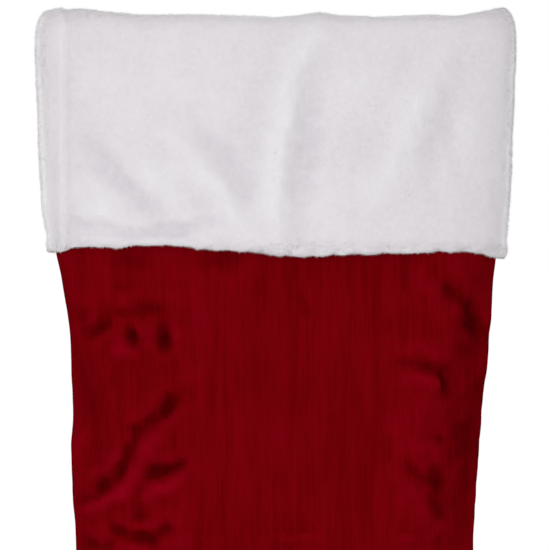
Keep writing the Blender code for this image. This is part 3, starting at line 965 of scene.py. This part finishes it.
class Shader:
    """A material whose nodes are made in code. Inputs are numbers, tuples or other nodes' outputs."""

    def __init__(self, name):
        self.material = bpy.data.materials.new(name)
        self.material.use_nodes = True
        self.tree = self.material.node_tree
        self.surface = self.tree.nodes["Principled BSDF"]

    def node(self, kind, inputs=(), **settings):
        made = self.tree.nodes.new(kind)
        for key, value in settings.items():
            setattr(made, key, value)
        self.fill(made, dict(inputs))
        return made

    def fill(self, node, inputs):
        for key, value in inputs.items():
            socket = node.inputs[key]
            if isinstance(value, bpy.types.NodeSocket):
                self.tree.links.new(value, socket)
            else:
                socket.default_value = value

    def noise(self, size, detail=2.0, roughness=0.5):
        """Noise with lumps of a size in metres, or of three sizes."""
        sizes = size if isinstance(size, tuple) else (size, size, size)
        place = self.node("ShaderNodeTexCoord").outputs["Object"]
        scaled = self.node("ShaderNodeMapping", {"Vector": place, "Scale": tuple(1 / s for s in sizes)})
        inputs = {"Vector": scaled.outputs[0], "Scale": 1.0, "Detail": detail, "Roughness": roughness}
        return self.node("ShaderNodeTexNoise", inputs).outputs["Fac"]

    def math(self, operation, first, second):
        return self.node("ShaderNodeMath", {0: first, 1: second}, operation=operation).outputs[0]

    def spread(self, value, amount):
        """Noise around zero, times an amount."""
        return self.math("MULTIPLY", self.math("SUBTRACT", value, 0.5), amount)

    def total(self, *values):
        result = values[0]
        for value in values[1:]:
            result = self.math("ADD", result, value)
        return result

    def ramp(self, factor, *stops):
        made = self.node("ShaderNodeValToRGB", {"Fac": factor})
        elements = made.color_ramp.elements
        while len(elements) < len(stops):
            elements.new(0.5)
        for element, (place, colour) in zip(elements, stops):
            element.position = place
            element.color = (*colour, 1)
        return made.outputs["Color"]

    def bump(self, height, distance):
        inputs = {"Height": height, "Distance": distance, "Strength": 1.0}
        return self.node("ShaderNodeBump", inputs).outputs["Normal"]

    def attribute(self, name):
        return self.node("ShaderNodeAttribute", attribute_name=name).outputs["Fac"]

    def finish(self, **inputs):
        self.fill(self.surface, {key.replace("_", " "): value for key, value in inputs.items()})
        return self.material


def velvet_material():
    """Short red pile whose colour carries painted shade: darker in the creases and lighter on the ridges,
    from the relief value.
    """
    s = Shader("red velvet")
    fine = s.spread(s.noise((1.1 * MM, 1.1 * MM, 24 * MM), 3, 0.6), 0.34)
    wide = s.spread(s.noise((4.5 * MM, 4.5 * MM, 50 * MM), 2), 0.24)
    patches = s.spread(s.noise(24 * MM, 3), 0.18)
    grain = s.spread(s.noise(0.7 * MM, 2), 0.10)
    # Painted shade from the relief value: darker in creases, lighter on ridges.
    relief = s.math("MULTIPLY", s.attribute("relief"), 0.36)
    tone = s.total(0.5, fine, wide, patches, grain, relief)
    colour = s.ramp(
        tone,
        (0.0, (0.045, 0.0, 0.0004)),
        (0.30, (0.100, 0.0002, 0.0011)),
        (0.5, (0.160, 0.0004, 0.0028)),
        (0.72, (0.208, 0.0006, 0.0054)),
        (1.0, (0.255, 0.0010, 0.0095)),
    )
    pile = s.total(s.spread(s.noise(0.45 * MM, 2), 1.0), s.spread(s.noise(3 * MM, 2), 0.8))
    return s.finish(
        Base_Color=colour,
        Roughness=0.85,
        Specular_IOR_Level=0.0,
        Sheen_Weight=0.16,
        Sheen_Roughness=0.35,
        Sheen_Tint=(0.75, 0.02, 0.06, 1),
        Normal=s.bump(pile, 0.12 * MM),
    )


def plush_material():
    """White fleece with a short, slightly clumped nap, and painted shade and light from the relief value."""
    s = Shader("white plush")
    clumps = s.noise(2.4 * MM, 3, 0.6)
    nap = s.noise(0.6 * MM, 3, 0.6)
    tone = s.total(
        0.5,
        s.spread(clumps, 0.5),
        s.spread(s.noise(22 * MM, 2), 0.5),
        # Painted shade and light: darker in fold valleys, lighter on ridges and at the cuff's sides and rim.
        s.math("MULTIPLY", s.attribute("relief"), 0.34),
    )
    colour = s.ramp(
        s.math("MULTIPLY", tone, 0.6),
        (0.0, (0.64, 0.61, 0.64)),
        (0.3, (0.745, 0.715, 0.745)),
        (0.6, (0.80, 0.79, 0.80)),
        (1.0, (0.98, 0.96, 0.98)),
    )
    height = s.total(s.spread(clumps, 1.0), s.spread(nap, 0.5))
    return s.finish(
        Base_Color=colour,
        Roughness=0.95,
        Specular_IOR_Level=0.05,
        Sheen_Weight=0.7,
        Sheen_Roughness=0.35,
        Normal=s.bump(height, 0.18 * MM),
    )


def weave_material(name, dark, light, pitch, relief, sheen):
    """Plain woven cloth: threads over and under in two directions."""
    s = Shader(name)
    place = s.node("ShaderNodeTexCoord").outputs["Object"]
    apart = s.node("ShaderNodeSeparateXYZ", {0: place})
    turns = 2 * math.pi / pitch
    across = s.math("SINE", s.math("MULTIPLY", apart.outputs["X"], turns), 0.0)
    along = s.math("SINE", s.math("MULTIPLY", apart.outputs["Z"], turns), 0.0)
    weave = s.math("MULTIPLY", across, along)
    tone = s.total(s.math("MULTIPLY", weave, 0.25), s.spread(s.noise(6 * MM, 2), 0.4), 1.0)
    return s.finish(
        Base_Color=s.ramp(tone, (0.1, dark), (0.9, light)),
        Roughness=0.7,
        Specular_IOR_Level=0.2,
        Sheen_Weight=sheen,
        Normal=s.bump(weave, relief),
    )


def thread_material(name, dark, light):
    s = Shader(name)
    twist = s.noise((0.5 * MM, 0.5 * MM, 0.25 * MM), 1)
    return s.finish(
        Base_Color=s.ramp(twist, (0.3, dark), (0.7, light)),
        Roughness=0.6,
        Specular_IOR_Level=0.3,
        Normal=s.bump(twist, 0.1 * MM),
    )


velvet = velvet_material()
plush = plush_material()
lining = weave_material("lining cloth", (0.64, 0.59, 0.50), (0.76, 0.72, 0.63), 0.9 * MM, 0.08 * MM, 0.1)
strap = weave_material("strap cloth", (0.60, 0.58, 0.60), (0.80, 0.78, 0.80), 1.1 * MM, 0.14 * MM, 0.2)
white_thread = thread_material("white thread", (0.62, 0.60, 0.62), (0.80, 0.78, 0.80))
red_thread = thread_material("red thread", (0.06, 0.001, 0.002), (0.12, 0.002, 0.004))


# ---------- the pieces

moves = cloth_moves()
front_panel = velvet_panel("front_panel", FRONT, velvet, moves)
back_panel = velvet_panel("back_panel", BACK, velvet, moves)
front_lining = lining_panel("front_lining", FRONT, lining, moves)
back_lining = lining_panel("back_lining", BACK, lining, moves)
cuff = cuff_piece(plush)
nap = nap_piece(plush)
ring_stitches("hem_thread", 4.55 * MM, -93.4 * MM, white_thread, outside=True)
ring_stitches("rim_thread", -5.95 * MM, -24.5 * MM, white_thread, outside=False)
lap_stitches(white_thread)
seam_stitches("seam_thread", -1.5 * MM, THREAD_RADIUS, red_thread)
seam_stitches("lining_seam_thread", -3.1 * MM, 0.2 * MM, white_thread)
strap_piece(strap)
bartack_piece(white_thread)


# ---------- floor, camera and light


FLOOR_RADIUS = 3
FLOOR_DROP = 0.52
FLOOR_FADE = (0.7, 1.9)
VIEW_WIDTH = 229.2 * MM
VIEW_X, VIEW_Z = -0.2 * MM, -108.8 * MM


def add_floor():
    """A pale disc that turns into the white of the background with distance from its middle."""
    mesh = bpy.data.meshes.new("floor")
    work = bmesh.new()
    bmesh.ops.create_circle(work, cap_ends=True, segments=96, radius=FLOOR_RADIUS)
    work.to_mesh(mesh)
    work.free()
    s = Shader("floor")
    place = s.node("ShaderNodeTexCoord").outputs["Object"]
    away = s.node("ShaderNodeVectorMath", {0: place}, operation="LENGTH").outputs["Value"]
    low, high = FLOOR_FADE
    fade = s.node(
        "ShaderNodeMapRange",
        {"Value": away, "From Min": low, "From Max": high},
        interpolation_type="SMOOTHSTEP",
    ).outputs["Result"]
    seen = s.node("ShaderNodeLightPath").outputs["Is Camera Ray"]
    white = s.node("ShaderNodeEmission", {"Color": (1, 1, 1, 1), "Strength": 1.0})
    mix = s.node("ShaderNodeMixShader", {0: s.math("MULTIPLY", fade, seen)})
    s.tree.links.new(s.surface.outputs["BSDF"], mix.inputs[1])
    s.tree.links.new(white.outputs["Emission"], mix.inputs[2])
    s.tree.links.new(mix.outputs["Shader"], s.tree.nodes["Material Output"].inputs["Surface"])
    pale = (0.80, 0.80, 0.80, 1)
    mesh.materials.append(s.finish(Base_Color=pale, Roughness=0.9, Specular_IOR_Level=0.1))
    floor = add_object("floor", mesh)
    floor.location = FRAME_ORIGIN - np.array((0, 0, FLOOR_DROP))


def add_camera():
    """Square on to the front from far off, framing the cuff and the upper leg."""
    data = bpy.data.cameras.new("camera")
    data.lens = 200
    data.sensor_width = 36
    distance = VIEW_WIDTH * data.lens / data.sensor_width
    camera = add_object("camera", data)
    camera.location = FRAME_ORIGIN + np.array((VIEW_X, -distance, VIEW_Z))
    camera.rotation_euler = (math.pi / 2, 0, 0)
    bpy.context.scene.camera = camera


def add_light(name, place, size, power, target):
    """A round soft light. Places are in the row's frame, in metres, and power is in watts."""
    data = bpy.data.lights.new(name, "AREA")
    data.shape = "DISK"
    data.size = size
    data.energy = power
    light = add_object(name, data)
    light.location = place
    aim = Vector(target) - Vector(place)
    light.rotation_euler = aim.to_track_quat("-Z", "Y").to_euler()
    light.visible_camera = False


def add_world():
    """White to the camera, a softer pale grey as light."""
    world = bpy.data.worlds.new("studio")
    world.use_nodes = True
    tree = world.node_tree
    tree.nodes.clear()
    path = tree.nodes.new("ShaderNodeLightPath")
    mix = tree.nodes.new("ShaderNodeMixShader")
    out = tree.nodes.new("ShaderNodeOutputWorld")
    tree.links.new(path.outputs["Is Camera Ray"], mix.inputs[0])
    for socket, colour, strength in ((1, (1, 0.985, 1, 1), 0.49), (2, (1, 1, 1, 1), 1.0)):
        glow = tree.nodes.new("ShaderNodeBackground")
        glow.inputs["Color"].default_value = colour
        glow.inputs["Strength"].default_value = strength
        tree.links.new(glow.outputs[0], mix.inputs[socket])
    tree.links.new(mix.outputs[0], out.inputs["Surface"])
    bpy.context.scene.world = world


add_floor()
add_camera()
add_light("key", (-0.65, -1.6, 0), 0.9, 11.5, (0.07, 0, -0.15))
add_light("fill", (1.1, -1.5, 0.2), 1.2, 5.3, (0.07, 0, -0.2))
add_light("back", (0.3, 1.9, 0.5), 1.2, 14, (0.07, 0, -0.2))
add_world()
bpy.context.scene.view_settings.view_transform = "Standard"
